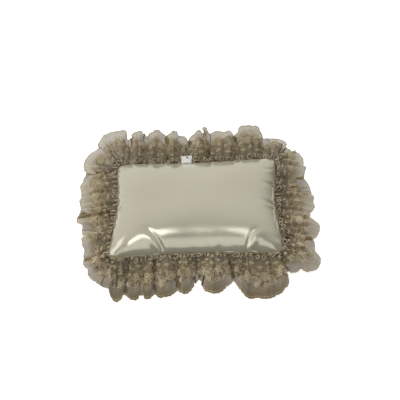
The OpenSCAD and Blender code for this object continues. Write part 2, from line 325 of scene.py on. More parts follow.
def panelGrids():
    # both panels on one square grid whose lines crowd towards the seam by t(1.25 - t^2 / 4)
    s, t = np.linspace(-1, 1, cushion["columns"]), np.linspace(-1, 1, cushion["rows"])
    a, b = np.meshgrid(s * (1.25 - 0.25 * s * s), t * (1.25 - 0.25 * t * t), indexing="ij")
    x, y = plan(a, b)
    top = seamZ + (crownZ - seamZ) * swell(a, b, cushion["crownInset"])
    bottom = seamZ * (1 - swell(a, b, cushion["bellyInset"]))
    return a, b, np.stack([x, y, top], axis=-1), np.stack([x, y, bottom], axis=-1)


def blowUp(top, bottom):
    # cloth simulation of the closed cover: seam and flat belly held, air pressure inside, a little spare cloth; no
    # point moves further than the cap
    columns, rows = top.shape[:2]
    count = columns * rows
    rim = np.ones((columns, rows), dtype=bool)
    rim[1:-1, 1:-1] = False
    lower = np.zeros(count, dtype=int)
    lower[rim.ravel()] = np.arange(count)[rim.ravel()]
    lower[~rim.ravel()] = count + np.arange((~rim).sum())
    start = np.concatenate([top.reshape(-1, 3), bottom.reshape(-1, 3)[~rim.ravel()]])
    upper = gridFaces(columns, rows)
    cover = putMesh("coverSimulation", start, np.concatenate([upper, lower[upper][:, ::-1]]))
    held = cover.vertex_groups.new(name="held")
    flat = np.flatnonzero((bottom[..., 2] < 0.0002).ravel())
    held.add(np.flatnonzero(rim.ravel()).tolist() + lower[flat].tolist(), 1.0, "REPLACE")
    cloth = cover.modifiers.new("cloth", "CLOTH")
    cloth.settings.vertex_group_mass = "held"
    cloth.settings.quality = 6
    cloth.settings.mass = 0.2
    cloth.settings.tension_stiffness = 18
    cloth.settings.compression_stiffness = 12
    cloth.settings.shear_stiffness = 6
    cloth.settings.bending_stiffness = 3.0
    cloth.settings.use_pressure = True
    cloth.settings.uniform_pressure_force = cushion["pressure"]
    cloth.settings.shrink_min = -cushion["spareCloth"]
    cloth.settings.effector_weights.gravity = 0
    cloth.collision_settings.use_collision = False
    cloth.point_cache.frame_end = cushion["frames"]
    scene = bpy.context.scene
    for step in range(1, cushion["frames"] + 1):
        scene.frame_set(step)
    settled = cover.evaluated_get(bpy.context.evaluated_depsgraph_get()).to_mesh()
    moved = np.empty(len(start) * 3, dtype=np.float32)
    settled.vertices.foreach_get("co", moved)
    scene.frame_set(1)
    bpy.data.objects.remove(cover, do_unlink=True)
    shift = moved.reshape(-1, 3) - start
    whole = shift[:count].reshape(top.shape)
    for _ in range(cushion["soften"]):
        # each inner point takes the mean of itself and its four neighbours
        whole[1:-1, 1:-1] = (whole[1:-1, 1:-1] + whole[2:, 1:-1] + whole[:-2, 1:-1]
                             + whole[1:-1, 2:] + whole[1:-1, :-2]) / 5
    shift[:count] = whole.reshape(-1, 3)
    far = np.linalg.norm(shift, axis=1, keepdims=True)
    print("  cover moved at most %.1f mm" % (far.max() * 1000))
    result = start + shift * np.minimum(1, cushion["cap"] / np.maximum(far, 1e-9))
    return result[:count].reshape(top.shape), result[lower].reshape(top.shape)


def crease(points, start, end, width, depth, bulge, bend):
    # a fold drawn from the seam into the panel: a Gaussian groove with a softer ridge beside it, along a bent line;
    # it widens and fades away from the seam end; places and widths in millimetres
    start, end = np.array(start) / 1000, np.array(end) / 1000
    run = end - start
    along = ((points[..., :2] - start) @ run) / (run @ run)
    side = ((points[..., 0] - start[0]) * run[1] - (points[..., 1] - start[1]) * run[0]) / np.linalg.norm(run) * 1000
    side = side - bend * 4 * along * (1 - along)
    reach = abs(width) * (1.5 - 0.7 * np.clip(along, 0, 1))
    fade = hump(along, -0.1, 0.75, 0.78, 1.12)
    groove = -depth * np.exp(-(side / reach) ** 2)
    ridge = bulge * np.exp(-((side - np.sign(width) * 1.9 * reach) / (1.5 * reach)) ** 2)
    return (groove + ridge) * fade / 1000


def bedHeight(x, y):
    # how far the belly is lifted off the table: over each loop and tail of the bow, and high over the knot
    lift = np.zeros_like(x)
    for side in (-1, 1):
        for angle, length in ((bow["loopAngle"], bow["loop"]), (-bow["tailAngle"], bow["tail"])):
            turn = np.radians(angle)
            s = side * x * np.cos(turn) + y * np.sin(turn)
            t = -side * x * np.sin(turn) + y * np.cos(turn)
            out = np.maximum(np.maximum(-s, s - length), np.abs(t) - bow["width"] / 2)
            lift = np.maximum(lift, cushion["bedDepth"] * (1 - easeStep(0.0003, cushion["bedSoft"], out)))
    spare = cushion["knotRoom"]
    overKnot = (knotHigh[2] + spare) * (1 - easeStep(knotHigh[0] + spare, knotHigh[0] + 0.008, np.hypot(x, y)))
    return np.maximum(lift, overKnot)


def buildCushion():
    a, b, top, bottom = panelGrids()
    small = np.array([1, 1, cushion["startFill"]])
    middle = np.array([0, 0, seamZ])
    blown, sagged = blowUp((top - middle) * small + middle, bottom)
    # near a corner the start shape is kept, because the held seam would draw the cover in there
    apart = np.hypot(halfLong - np.abs(top[..., 0]), halfShort - np.abs(top[..., 1]))
    keep = easeStep(*cushion["cornerKeep"], apart)[..., None]
    blown, sagged = top + (blown - top) * keep, bottom + (sagged - bottom) * keep
    blown[..., 2] = seamZ + (blown[..., 2] - seamZ) * (crownZ - seamZ) / (blown[..., 2].max() - seamZ)
    top, bottom = blown, sagged
    top, bottom = finer(top, cushion["finer"]), finer(bottom, cushion["finer"])
    grid = finer(np.stack([a, b, np.zeros_like(a)], axis=-1), cushion["finer"])
    a, b = grid[..., 0], grid[..., 1]
    x, y = top[..., 0], top[..., 1]
    fromLong, fromShort = halfShort - np.abs(b) * halfShort, halfLong - np.abs(a) * halfLong
    normal = gridNormals(top)
    sideA, sideB = np.sign(a), np.sign(b)
    # puckers drawn up by the seam, with their own seeds on each side, dying out in about a centimetre
    near = np.exp(-fromLong / cushion["fadeLong"]) * easeStep(0, 0.003, fromLong)
    close = np.exp(-fromShort / cushion["fadeShort"]) * easeStep(0, 0.003, fromShort)
    far, front = wander(x, (0.026, 0.009), 3), wander(x, (0.034, 0.014), 4)
    pucker = near * np.where(sideB > 0, cushion["puckerFar"] * far, cushion["puckerNear"] * front)
    pucker = pucker * cushion["puckerLong"]
    right, left = wander(y, (0.03, 0.012), 5), wander(y, (0.03, 0.012), 6)
    pucker += close * np.where(sideA > 0, right, left) * cushion["puckerShort"]
    # broad, barely seen unevenness of the fill
    lumps = cushion["lump"] * wander(x + 0.4 * y, (0.16, 0.06), 7) * wander(y - 0.3 * x, (0.12, 0.05), 8)
    push = pucker + lumps * swell(a, b, (0.05, 0.05))
    for fold in cushion["folds"]:
        push += crease(top, *fold)
    rim = easeStep(0, 0.0015, np.minimum(fromLong, fromShort))
    top = top + normal * (push * rim)[..., None]
    top[..., 2] += cushion["wrap"] * (1 - rim)
    bottom[..., 2] -= cushion["wrap"] * (1 - rim)
    bottom[..., 2] = np.maximum(bottom[..., 2], bedHeight(bottom[..., 0], bottom[..., 1]) + 0.00005)
    return top, bottom


print("cushion")
topGrid, bottomGrid = buildCushion()
satin = satinMaterial("satin_back", satinLook, 9.0)
satinUnder = satinMaterial("satin_front", {"light": (0.48, 0.45, 0.35, 1), "dark": (0.42, 0.395, 0.30, 1),
                                           "roughness": 0.3}, 11.0)
panelFaces = gridFaces(*topGrid.shape[:2])
for name, grid, faces, material, node, slot in (
        ("satinBack", topGrid, panelFaces, satin, "back_panel", "satin"),
        ("satinFront", bottomGrid, panelFaces[:, ::-1], satinUnder, "front_panel", "satin_front")):
    panel = putMesh(name, grid, faces, uv=grid[..., :2])
    wall = panel.modifiers.new("wall", "SOLIDIFY")
    wall.thickness = cushion["satin"]
    wall.offset = -1
    panel.data.materials.append(material)
    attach(panel, "pillow")
    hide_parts(node)

fibre = {"shrink": 0.93, "lump": 0.0022}


def buildFill():
    # the fill is the cushion's own grid drawn in towards its middle, with seeded lumps pushed along the normals
    step = 4
    points = np.stack([topGrid[::step, ::step], bottomGrid[::step, ::step]])
    middle = np.array([0, 0, seamZ])
    points = middle + (points - middle) * fibre["shrink"]
    upper, lower = points
    rim = np.zeros(upper.shape[:2], dtype=bool)
    rim[0], rim[-1], rim[:, 0], rim[:, -1] = True, True, True, True
    both = (upper + lower) / 2
    upper[rim], lower[rim] = both[rim], both[rim]
    lump = wander(upper[..., 0], (0.05, 0.02), 11) * wander(upper[..., 1], (0.05, 0.02), 12)
    upper[..., 2] -= np.where(rim, 0, fibre["lump"] * (1 + lump))
    lower[..., 2] += np.where(rim, 0, fibre["lump"] * (1 + lump) + 0.001)
    count = rim.size
    index = np.arange(count)
    below = np.where(rim.ravel(), index, count + np.cumsum(~rim.ravel()) - 1)
    faces = gridFaces(*rim.shape)
    return (np.concatenate([upper.reshape(-1, 3), lower.reshape(-1, 3)[~rim.ravel()]]),
            np.concatenate([faces, below[faces][:, ::-1]]))


def fibreMaterial():
    # loose white polyester: tangled fine noise in colour and bump
    material, tree, shader = newMaterial("fibre", {"Roughness": 0.9, "Sheen Weight": 0.5})
    place = addNode(tree, "TexCoord").outputs["Object"]
    tangle = addNode(tree, "TexNoise", {"Vector": place, "Scale": 420.0, "Detail": 6.0, "Distortion": 1.6})
    colour = blendColours(tree, tangle.outputs[0], (0.72, 0.7, 0.66, 1), (0.9, 0.89, 0.86, 1))
    dress(tree, shader, colour, tangle.outputs[0], 0.7, 0.001)
    return material


fill = putMesh("fibreFill", *buildFill())
fill.data.materials.append(fibreMaterial())
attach(fill, "pillow")
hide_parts("fibre_fill")

lace = {
    "width": 0.067, "reach": 0.056, "columns": 1760, "rows": 40, "overlap": 0.008, "start": 1.004,
    "root": 0.0012, "lean": 0.26, "leanFull": 0.012, "heightShare": 0.75, "bow": 0.6, "sag": 0.5, "tuck": 0.004,
    "crimps": 160, "crimp": 0.0019, "pleat": 0.0026, "loose": 0.7, "drape": 0.0026, "ripple": 0.0008,
    "repeats": 31, "scallop": 0.0022, "picot": 0.0009, "labelPlace": 0.7245, "crowd": 1.12,
    # the free edge, anticlockwise from the near side's left end: place along the edge, reach from the seam and
    # height above the table, in millimetres, and 1 for a lobe that bows up or -1 for a fold that sags between lobes
    "edge": [
        (4, 60, 1, 1), (13, 42, 3, -1), (28, 59, 1, 1), (40, 51, 3, -1), (47, 58, 2, 1), (58, 47, 4, -1),
        (67, 59, 3, 1), (91, 43, 4, -1), (100, 60, 12, 1), (119, 27, 4, -1), (140, 61, 14, 1), (171, 27, 4, -1),
        (195, 62, 2, 1), (216, 62, 2, 1), (241, 52, 12, 1), (256, 30, 16, -1), (285, 38, 14, 1), (317, 56, 5, 1),
        (340, 49, 8, 1), (353, 45, 20, -1), (368, 60, 12, 1), (388, 45, 22, -1), (427, 61, 10, 1),
        (441, 56, 12, -1), (456, 43, 24, -1), (474, 46, 18, 1), (523, 48, 12, 1), (552, 49, 9, -1),
        (572, 55, 12, 1), (602, 50, 20, -1), (615, 63, 41, 1), (632, 62, 40, 1), (645, 50, 26, -1),
        (657, 54, 36, 1), (680, 60, 35, 1), (690, 59, 24, -1), (695, 64, 42, 1), (699, 59, 24, -1),
        (705, 62, 39, 1), (712, 62, 27, 0), (719, 60, 13, -1), (728, 60, 12, -1), (736, 62, 24, 0),
        (748, 60, 40, 1), (758, 58, 22, -1), (773, 62, 40, 1), (787, 60, 25, -1), (801, 60, 39, 1),
        (819, 58, 24, -1), (831, 63, 41, 1), (856, 65, 39, 1), (875, 59, 24, 0), (891, 65, 20, 1), (904, 65, 15, 1),
        (927, 53, 18, -1), (948, 62, 12, 1), (984, 63, 12, 1), (1003, 58, 18, -1), (1012, 65, 11, 1),
        (1033, 51, 18, -1), (1055, 45, 18, 1), (1084, 40, 14, -1), (1127, 40, 24, 1), (1162, 45, 18, 0),
        (1178, 46, 14, 1)],
}
laceRadius = seam["cornerRadius"] + lace["reach"]
wholeEdge = stretchEnds(laceRadius)[-1]


def edgeAt(place, outward):
    # reach, height and sideways lean of the free edge: eased by a cosine from one row to the next; the lean pushes a
    # flank towards the row that stands out less, so that lobes are wide and the folds between them narrow
    rows = np.array(lace["edge"]) / np.array([1000, 1000, 1000, 1])
    turn = np.array([wholeEdge, 0, 0, 0])
    rows = np.concatenate([rows[-2:] - turn, rows, rows[:2] + turn])
    at = np.mod(place, wholeEdge)
    k = np.searchsorted(rows[:, 0], at, side="right") - 1
    gap = rows[k + 1, 0] - rows[k, 0]
    share = (at - rows[k, 0]) / gap
    ease = (1 - np.cos(np.pi * share)) / 2
    longer, rise = rows[k + 1, 1] - rows[k, 1], rows[k + 1, 2] - rows[k, 2]
    standsOut = longer + lace["heightShare"] * outward * rise
    lean = -lace["lean"] * np.clip(standsOut / lace["leanFull"], -1, 1) * gap * np.sin(np.pi * share)
    lobe = rows[k, 3] + (rows[k + 1, 3] - rows[k, 3]) * ease
    # a fold's bottom is tucked sideways under one of its lobes
    lean += lace["tuck"] * np.clip((1 - lobe) / 2, 0, 1) ** 2 * np.where(np.sin(at * 170) > 0, 1, -1)
    return rows[k, 1] + longer * ease, rows[k, 2] + rise * ease, lean, lobe


def smoothLace(place, v):
    # the lace without its small gathers: root on the seam, free edge from edgeAt, and slack that bows upwards
    at = station(place, laceRadius)
    root = outline(at, -lace["root"], seam["cornerRadius"])
    line = unit(outline(at, lace["reach"], laceRadius) - root)
    side = np.stack([-line[..., 1], line[..., 0]], axis=-1)
    reach, height, lean, lobe = edgeAt(place, line[..., 1])
    reach = reach + lace["root"]
    drop = height - seamZ
    slack = np.maximum(0, lace["width"] - np.hypot(reach, drop))
    # a shallow arc that is slack longer than its chord rises by the root of 3/8 of chord times slack
    puff = lace["bow"] * np.where(lobe > 0, lobe, lace["sag"] * lobe) * np.sqrt(0.375 * reach * slack)
    puff = puff * np.sin(np.pi * v)
    plane = root + line * (reach * v)[..., None] + side * (lean * v ** 1.2)[..., None]
    z = seamZ + tapeHalf + 0.0002 * (1 - v) + (drop - tapeHalf) * v + puff
    return np.concatenate([plane, z[..., None]], axis=-1)


def buildLace():
    # columns are spaced evenly along the cloth, measured across the flutes near the free edge
    place = np.linspace(lace["start"], lace["start"] + wholeEdge + lace["overlap"], 16000)
    run = smoothLace(place, np.full_like(place, 0.8))
    walked = np.concatenate([[0], np.cumsum(np.linalg.norm(np.diff(run, axis=0), axis=1))])
    length = walked[-1]
    u = np.linspace(0, length, lace["columns"])
    place = np.interp(u, walked, place)
    v = np.linspace(0, 1, lace["rows"]) ** lace["crowd"]
    uGrid, vGrid = np.meshgrid(u, v, indexing="ij")
    placeGrid = np.broadcast_to(place[:, None], uGrid.shape)
    # scalloped free edge: broad scallops of half a repeat and small picots
    repeat = length / lace["repeats"]
    cut = lace["scallop"] * np.abs(np.sin(2 * np.pi * uGrid / repeat)) ** 0.7
    cut += lace["picot"] * np.abs(np.sin(np.pi * uGrid / repeat * 9))
    trimmed = vGrid - (lace["scallop"] + lace["picot"] - cut) / lace["width"] * vGrid ** 4
    points = smoothLace(placeGrid, trimmed)
    normals = gridNormals(points)
    # gathers: crimps at the heading that merge two by two into pleats and then into loose folds
    crimp = 2 * np.pi * uGrid / length * lace["crimps"]
    shift = 2.2 * wander(uGrid, (0.09, 0.024), 21, length)
    strong = 1 + 0.45 * wander(uGrid, (0.07, 0.02), 24, length)
    mask = 1 - 0.9 * np.exp(-((placeGrid - lace["labelPlace"]) / 0.0135) ** 4)
    sway = uGrid + 0.006 * np.sin(9 * vGrid)
    push = strong * lace["crimp"] * np.sin(crimp + shift) * hump(vGrid, 0, 0.05, 0.10, 0.34)
    push += lace["pleat"] * np.sin(crimp / 2 + 1.7 * shift) * hump(vGrid, 0.04, 0.2, 0.3, 0.75)
    push += (lace["pleat"] * lace["loose"] * np.sin(crimp / 4 + 2.1 * shift) * easeStep(0.15, 0.4, vGrid)
             * (1 - 0.6 * easeStep(0.6, 1, vGrid)))
    push += lace["drape"] * wander(sway, (0.05, 0.016), 22, length) * easeStep(0.1, 0.8, vGrid)
    push += (lace["ripple"] * wander(vGrid * lace["width"] + 0.2 * uGrid, (0.03, 0.012), 23)
             * easeStep(0.2, 0.6, vGrid))
    points = points + normals * (push * mask)[..., None]
    points[..., 2] = np.maximum(points[..., 2], 0.0007 + 0.0004 * np.sin(uGrid * 700))
    # the last stretch lies on the first, where the ends are joined
    points[..., 2] += 0.0009 * easeStep(wholeEdge + lace["start"] - 0.006, wholeEdge + lace["start"], placeGrid)
    return points, uGrid, vGrid, length, place


print("lace")
laceGrid, laceU, laceV, laceLength, lacePlace = buildLace()
laceNormals = -gridNormals(laceGrid)
seamLength = stretchEnds(seam["cornerRadius"])[-1]
print("  cloth %.0f mm long, gathered on %.0f mm" % (laceLength * 1000, seamLength * 1000))


def onLace(u, v, lift):
    # point of the lace at u metres along it and v metres from the heading, lifted along the normal; bilinear
    i = np.clip(u / laceLength * (lace["columns"] - 1), 0, lace["columns"] - 1.001)
    j = np.clip(v / lace["width"], 0, 0.9999) ** (1 / lace["crowd"]) * (lace["rows"] - 1)
    i0, j0 = i.astype(int), np.minimum(j.astype(int), lace["rows"] - 2)
    fi, fj = (i - i0)[..., None], (j - j0)[..., None]

    def between(grid):
        low = grid[i0, j0] * (1 - fj) + grid[i0, j0 + 1] * fj
        high = grid[i0 + 1, j0] * (1 - fj) + grid[i0 + 1, j0 + 1] * fj
        return low * (1 - fi) + high * fi

    normal = unit(between(laceNormals))
    return between(laceGrid) + normal * np.asarray(lift)[..., None], normal


# the darkest lace colour is painted shade for the gathers and the near side
laceLook = {
    "thread": (0.288, 0.216, 0.09, 1), "shade": (0.19, 0.138, 0.052, 1), "motif": (0.34, 0.265, 0.13, 1),
    "paintedShade": (0.085, 0.058, 0.024, 1), "mesh": 0.0014, "hole": (0.94, 0.66), "nearHole": 0.94, "clear": 0.1,
}


def netMaterial():
    # net: cell edges are threads and cells are half open; in the floral band the cloth is denser in cell-like patches
    material, tree, shader = newMaterial("lace_net", {"Roughness": 0.8, "Sheen Weight": 0.1, "Sheen Roughness": 0.5})
    cloth = addNode(tree, "UVMap", uv_map="clothMap").outputs[0]
    parts = addNode(tree, "SeparateXYZ", {"Vector": cloth})
    net = addNode(tree, "TexVoronoi", {"Vector": cloth, "Scale": 1 / laceLook["mesh"], "Randomness": 0.35},
                  feature="DISTANCE_TO_EDGE", voronoi_dimensions="2D")
    thread = rangeNode(tree, net.outputs[0], 0.10, 0.24, 1.0, 0.0)
    patch = addNode(tree, "TexVoronoi", {"Vector": cloth, "Scale": 260.0, "Randomness": 0.9},
                    feature="SMOOTH_F1", voronoi_dimensions="2D")
    fromHeading = parts.outputs[1]
    band = mathNode(tree, "MULTIPLY", rangeNode(tree, fromHeading, 0.022, 0.027),
                    rangeNode(tree, fromHeading, 0.053, 0.048))
    gathers = rangeNode(tree, fromHeading, 0.010, 0.006)
    dense = mathNode(tree, "MULTIPLY", rangeNode(tree, patch.outputs[0], 0.42, 0.34), band)
    dense = mathNode(tree, "MAXIMUM", dense, gathers)
    cover = mathNode(tree, "MAXIMUM", thread, dense)
    # the near side is denser than the far side; further down its colour is also darkened by painted shade
    where = addNode(tree, "SeparateXYZ", {"Vector": addNode(tree, "TexCoord").outputs["Object"]})
    near = rangeNode(tree, where.outputs[1], -0.14, -0.04, 1.0, 0.0)
    hole = rangeNode(tree, fromHeading, 0.034, 0.060, *laceLook["hole"])
    hole = mathNode(tree, "MAXIMUM", hole, mathNode(tree, "MULTIPLY", near, laceLook["nearHole"]))
    # the two far corners are clearer, and the gathers along the right side get stronger painted shade
    atEnds = rangeNode(tree, mathNode(tree, "ABSOLUTE", where.outputs[0]), 0.09, 0.14)
    corner = mathNode(tree, "MULTIPLY", atEnds, rangeNode(tree, where.outputs[1], 0.05, 0.10, 0.0, laceLook["clear"]))
    hole = mathNode(tree, "SUBTRACT", hole, corner)
    alpha = mathNode(tree, "MAXIMUM", hole, cover)
    tree.links.new(alpha, shader.inputs["Alpha"])
    cloud = addNode(tree, "TexNoise", {"Vector": cloth, "Scale": 34.0, "Detail": 4.0})
    colour = blendColours(tree, rangeNode(tree, cloud.outputs[0], 0.3, 0.7), laceLook["shade"], laceLook["thread"])
    colour = blendColours(tree, mathNode(tree, "MULTIPLY", dense, 0.2), colour, laceLook["motif"])
    # painted shade: darker towards the heading, as if shaded between the gathers, stronger along the right side, and
    # over the whole near side
    gathered = rangeNode(tree, fromHeading, 0.004, 0.036, 0.7, 0.0)
    gathered = mathNode(tree, "MULTIPLY", gathered, rangeNode(tree, where.outputs[0], 0.11, 0.13, 1.0, 1.4))
    gathered = mathNode(tree, "MAXIMUM", gathered, mathNode(tree, "MULTIPLY", near, 0.4))
    colour = blendColours(tree, gathered, colour, laceLook["paintedShade"])
    dress(tree, shader, colour, cover, 0.5, 0.0003)
    return material


laceUV = np.stack([laceU, laceV * lace["width"]], axis=-1)
ruffle = putMesh("laceRuffle", laceGrid, gridFaces(*laceU.shape)[:, ::-1], uv=laceUV)
ruffle.data.materials.append(netMaterial())
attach(ruffle, "pillow")
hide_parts("lace_ruffle")

motif = {
    "cord": 0.0007, "fine": 0.0005, "lift": 0.0006, "repeat": 0.055, "drift": 0.0007,
    # centre along the repeat and from the heading, petal count, petal ring radius, petal length and width, in mm
    "blossoms": [(13, 38, 6, 4.6, 3.1, 2.3), (40, 35, 5, 3.9, 2.7, 2.1), (27, 47, 5, 2.4, 1.7, 1.3),
                 (52, 47, 5, 2.4, 1.7, 1.3)],
    # stem end along the repeat and from the heading, direction in degrees, length and width
    "leaves": [(20, 36, 15, 8.5, 3.4), (20, 41, 55, 7.5, 3.0), (33, 33, 195, 7.0, 3.0), (6, 41, 150, 7.0, 3.0),
               (46, 38, 40, 7.0, 3.0), (34, 40, 120, 6.5, 2.8), (47, 31, -10, 6.5, 2.8), (8, 33, 215, 6.0, 2.6)],
    # sprigs of three small leaves on the plain net
    "sprigs": [(7, 20, 80), (20, 15, 100), (33, 21, 75), (46, 16, 95)],
    # tendrils that wind inwards: centre, start angle, turns and first radius
    "tendrils": [(27, 38, 0, 1.3, 5.0), (52, 40, 200, 1.2, 4.4), (2, 48, 90, 1.1, 3.6), (40, 47, -30, 1.2, 3.8),
                 (24, 28, 20, 1.2, 3.8), (50, 27, 160, 1.1, 3.6)],
}


def spread(shapes):
    # the same shapes in every repeat of the lace: millimetre points of one repeat moved on by whole repeats, with a
    # little seeded drift so that no two repeats match exactly
    rng = np.random.default_rng(31)
    repeat = laceLength / lace["repeats"]
    start = np.arange(lace["repeats"]) * repeat
    drift = rng.uniform(-motif["drift"], motif["drift"], (lace["repeats"], 1, 1, 2))
    shapes = np.asarray(shapes, dtype=float) / 1000
    scale = repeat / motif["repeat"]
    moved = shapes[None] * np.array([scale, 1]) + drift
    moved[..., 0] += start[:, None, None]
    return moved.reshape(-1, shapes.shape[1], 2)


def ringShapes(centres, longs, wides, turns, steps):
    # ellipses about each centre, long axis turned by the angle
    t = 2 * np.pi * np.arange(steps) / steps
    x, y = longs[:, None] * np.cos(t), wides[:, None] * np.sin(t)
    c, s = np.cos(turns)[:, None], np.sin(turns)[:, None]
    return np.stack([centres[:, 0:1] + x * c - y * s, centres[:, 1:2] + x * s + y * c], axis=-1)


def leafShapes(rows, steps):
    # lens outlines: out along one bulged side and back along the other
    rows = np.array(rows, dtype=float)
    t = 2 * np.pi * np.arange(steps) / steps
    along = (1 - np.cos(t)) / 2
    across = np.sin(t) * np.abs(np.sin(t)) ** 0.3
    turn = np.radians(rows[:, 2])[:, None]
    x, y = rows[:, 3:4] * along, -rows[:, 4:5] / 2 * across
    return np.stack([rows[:, 0:1] + x * np.cos(turn) - y * np.sin(turn),
                     rows[:, 1:2] + x * np.sin(turn) + y * np.cos(turn)], axis=-1)


def laceThreads(shapes, radius, closed, lift):
    # threads laid on the lace along shapes given in the lace's own metres
    points, normals = onLace(shapes[..., 0], shapes[..., 1], np.full(shapes.shape[:2], lift))
    return cords(points, normals, radius, closed)


def lacePads(shapes, rimLift, crown):
    # filled petals and leaves: a fan from the middle of each outline, its middle raised
    middle = shapes.mean(axis=1, keepdims=True)
    inner = middle + (shapes - middle) * 0.55
    points = np.concatenate([onLace(shapes[..., 0], shapes[..., 1], np.full(shapes.shape[:2], rimLift))[0],
                             onLace(inner[..., 0], inner[..., 1], np.full(shapes.shape[:2], crown))[0],
                             onLace(middle[..., 0], middle[..., 1], np.full((len(shapes), 1), crown))[0]], axis=1)
    count, steps = shapes.shape[:2]
    k = np.arange(steps)
    n = (k + 1) % steps
    fan = np.concatenate([np.stack([k, k + steps, n], axis=1), np.stack([n, k + steps, n + steps], axis=1),
                          np.stack([k + steps, np.full(steps, 2 * steps), n + steps], axis=1)])
    faces = (np.arange(count)[:, None, None] * (2 * steps + 1) + fan).reshape(-1, 3)
    return points.reshape(-1, 3), faces


def buildMotifs():
    # every motif's outline in one repeat, then filled pads, outline cords and curling cords on all repeats
    petals, hearts = [], []
    for x, y, count, ring, long, wide in motif["blossoms"]:
        turn = 2 * np.pi * np.arange(count) / count + 0.3
        petals.append(np.stack([x + ring * np.cos(turn), y + ring * np.sin(turn), np.full(count, long),
                                np.full(count, wide), turn], axis=1))
        hearts.append((x, y, ring * 0.38))
    petals = np.concatenate(petals)
    hearts = np.array(hearts)
    petalRings = ringShapes(petals[:, :2], petals[:, 2], petals[:, 3], petals[:, 4], 12)
    heartRings = ringShapes(hearts[:, :2], hearts[:, 2], hearts[:, 2], np.zeros(len(hearts)), 8)
    leaves = leafShapes(motif["leaves"], 12)
    sprigRows = [(x + dx, y + dy, angle + turn, 4.4, 2.0) for x, y, angle in motif["sprigs"]
                 for dx, dy, turn in ((0, 0, 0), (-0.6, -0.5, 62), (0.6, -0.5, -62))]
    sprigs = leafShapes(sprigRows, 10)
    t = np.linspace(0, 1, 18)
    x, y, angle, turns, radius = np.array(motif["tendrils"], dtype=float).T[..., None]
    radius, angle = radius * (1 - 0.72 * t), np.radians(angle) + 2 * np.pi * turns * t
    curls = np.stack([x + radius * np.cos(angle), y + radius * np.sin(angle)], axis=-1)
    pads = joined([lacePads(spread(petalRings), 0.00012, 0.0005), lacePads(spread(leaves), 0.00012, 0.00045),
                   lacePads(spread(sprigs), 0.00010, 0.0003)])
    outlines = joined([laceThreads(spread(petalRings), motif["cord"], True, motif["lift"]),
                       laceThreads(spread(heartRings), motif["cord"], True, motif["lift"] * 1.5),
                       laceThreads(spread(leaves), motif["fine"], True, motif["lift"])])
    curlsAndSprigs = joined([laceThreads(spread(curls), motif["fine"], False, motif["lift"]),
                             laceThreads(spread(sprigs), motif["fine"] * 0.9, True, motif["lift"] * 0.8)])
    return pads, outlines, curlsAndSprigs


heading = {"radius": 0.0007, "tall": (0.0042, 0.0078), "wide": (0.0024, 0.0040), "base": (0.0016, 0.0050),
           "tilt": 0.0028, "lift": (0.0004, 0.0022), "labelGap": 0.014}
border = {"steps": 45, "radius": 0.00045, "innerRadius": 0.0003, "inner": 0.955}


def buildHeadingAndEdge():
    # heading: little upright loops of thread, one to each crimp, with seeded sizes; edge: a cord along the free edge
    # and a finer one just inside it
    rng = np.random.default_rng(41)
    count = lace["crimps"]
    pitch = laceLength / count
    start = (np.arange(count) + 0.5) * pitch
    # none stand where the label lies on the heading
    start = start[np.abs(np.interp(start, laceU[:, 0], lacePlace) - lace["labelPlace"]) > heading["labelGap"]]
    count = len(start)
    tall, wide = rng.uniform(*heading["tall"], count), rng.uniform(*heading["wide"], count)
    base, tilt = rng.uniform(*heading["base"], count), rng.uniform(-heading["tilt"], heading["tilt"], count)
    t = np.linspace(0, 2 * np.pi, 14, endpoint=False)
    u = start[:, None] + wide[:, None] * np.sin(t) * (0.75 + 0.25 * np.cos(t)) + tilt[:, None] * (1 - np.cos(t)) / 2
    v = base[:, None] + tall[:, None] * (1 - np.cos(t)) / 2
    lift = heading["lift"][0] + rng.uniform(*heading["lift"], count)[:, None] * (1 - np.cos(t)) / 2
    points, normals = onLace(u, v, lift)
    loops = cords(points, normals, heading["radius"], True)
    edgeU = np.linspace(0.0002, laceLength - 0.0002, lace["repeats"] * border["steps"])[None]
    edge, edgeNormals = onLace(edgeU, np.full_like(edgeU, lace["width"] * 0.999), np.zeros_like(edgeU))
    outer = cords(edge, edgeNormals, border["radius"], False)
    inner, innerNormals = onLace(edgeU, np.full_like(edgeU, lace["width"] * border["inner"]),
                                 np.full_like(edgeU, 0.0002))
    return loops, joined([outer, cords(inner, innerNormals, border["innerRadius"], False)])


def motifMaterial(name, light, dark):
    # dense satin stitch: thin parallel ribs from a wave on object coordinates, with cloudy shading
    material, tree, shader = newMaterial(name, {"Roughness": 0.6, "Sheen Weight": 0.35})
    place = addNode(tree, "TexCoord").outputs["Object"]
    ribs = addNode(tree, "TexWave", {"Vector": place, "Scale": 900.0, "Distortion": 3.0, "Detail": 1.0})
    cloud = addNode(tree, "TexNoise", {"Vector": place, "Scale": 60.0, "Detail": 3.0})
    share = mathNode(tree, "MULTIPLY", rangeNode(tree, ribs.outputs[1], 0.0, 1.0, 0.55, 1.0), cloud.outputs[0])
    colour = blendColours(tree, rangeNode(tree, share, 0.2, 0.6), dark, light)
    dress(tree, shader, colour, ribs.outputs[1], 0.35, 0.0002)
    return material


print("lace threads")
laceCord = threadMaterial("lace_cord", (0.76, 0.645, 0.455, 1), (0.52, 0.43, 0.285, 1))
lacePad = motifMaterial("lace_motif", (0.42, 0.335, 0.185, 1), (0.27, 0.208, 0.105, 1))
pads, outlines, curls = buildMotifs()
headingLoops, edgeCords = buildHeadingAndEdge()
for name, (points, faces), material in (
        ("lacePetals", pads, lacePad), ("laceOutlines", outlines, laceCord), ("laceTendrils", curls, laceCord),
        ("laceHeadingLoops", headingLoops, laceCord), ("laceEdgeCord", edgeCords, laceCord)):
    thread = putMesh(name, points, faces)
    thread.data.materials.append(material)
    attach(thread, "pillow")
    print("  %s: %d faces" % (name, len(faces)))

stitch = {"length": 0.003, "radius": 0.00028, "rise": 0.0003, "sink": 0.0001}
# middle of the closing gap in the seam, and half its length
closing = {"middle": float(stretchEnds(seam["cornerRadius"] + 0.0005)[[6, 7]].mean()), "half": 0.032}


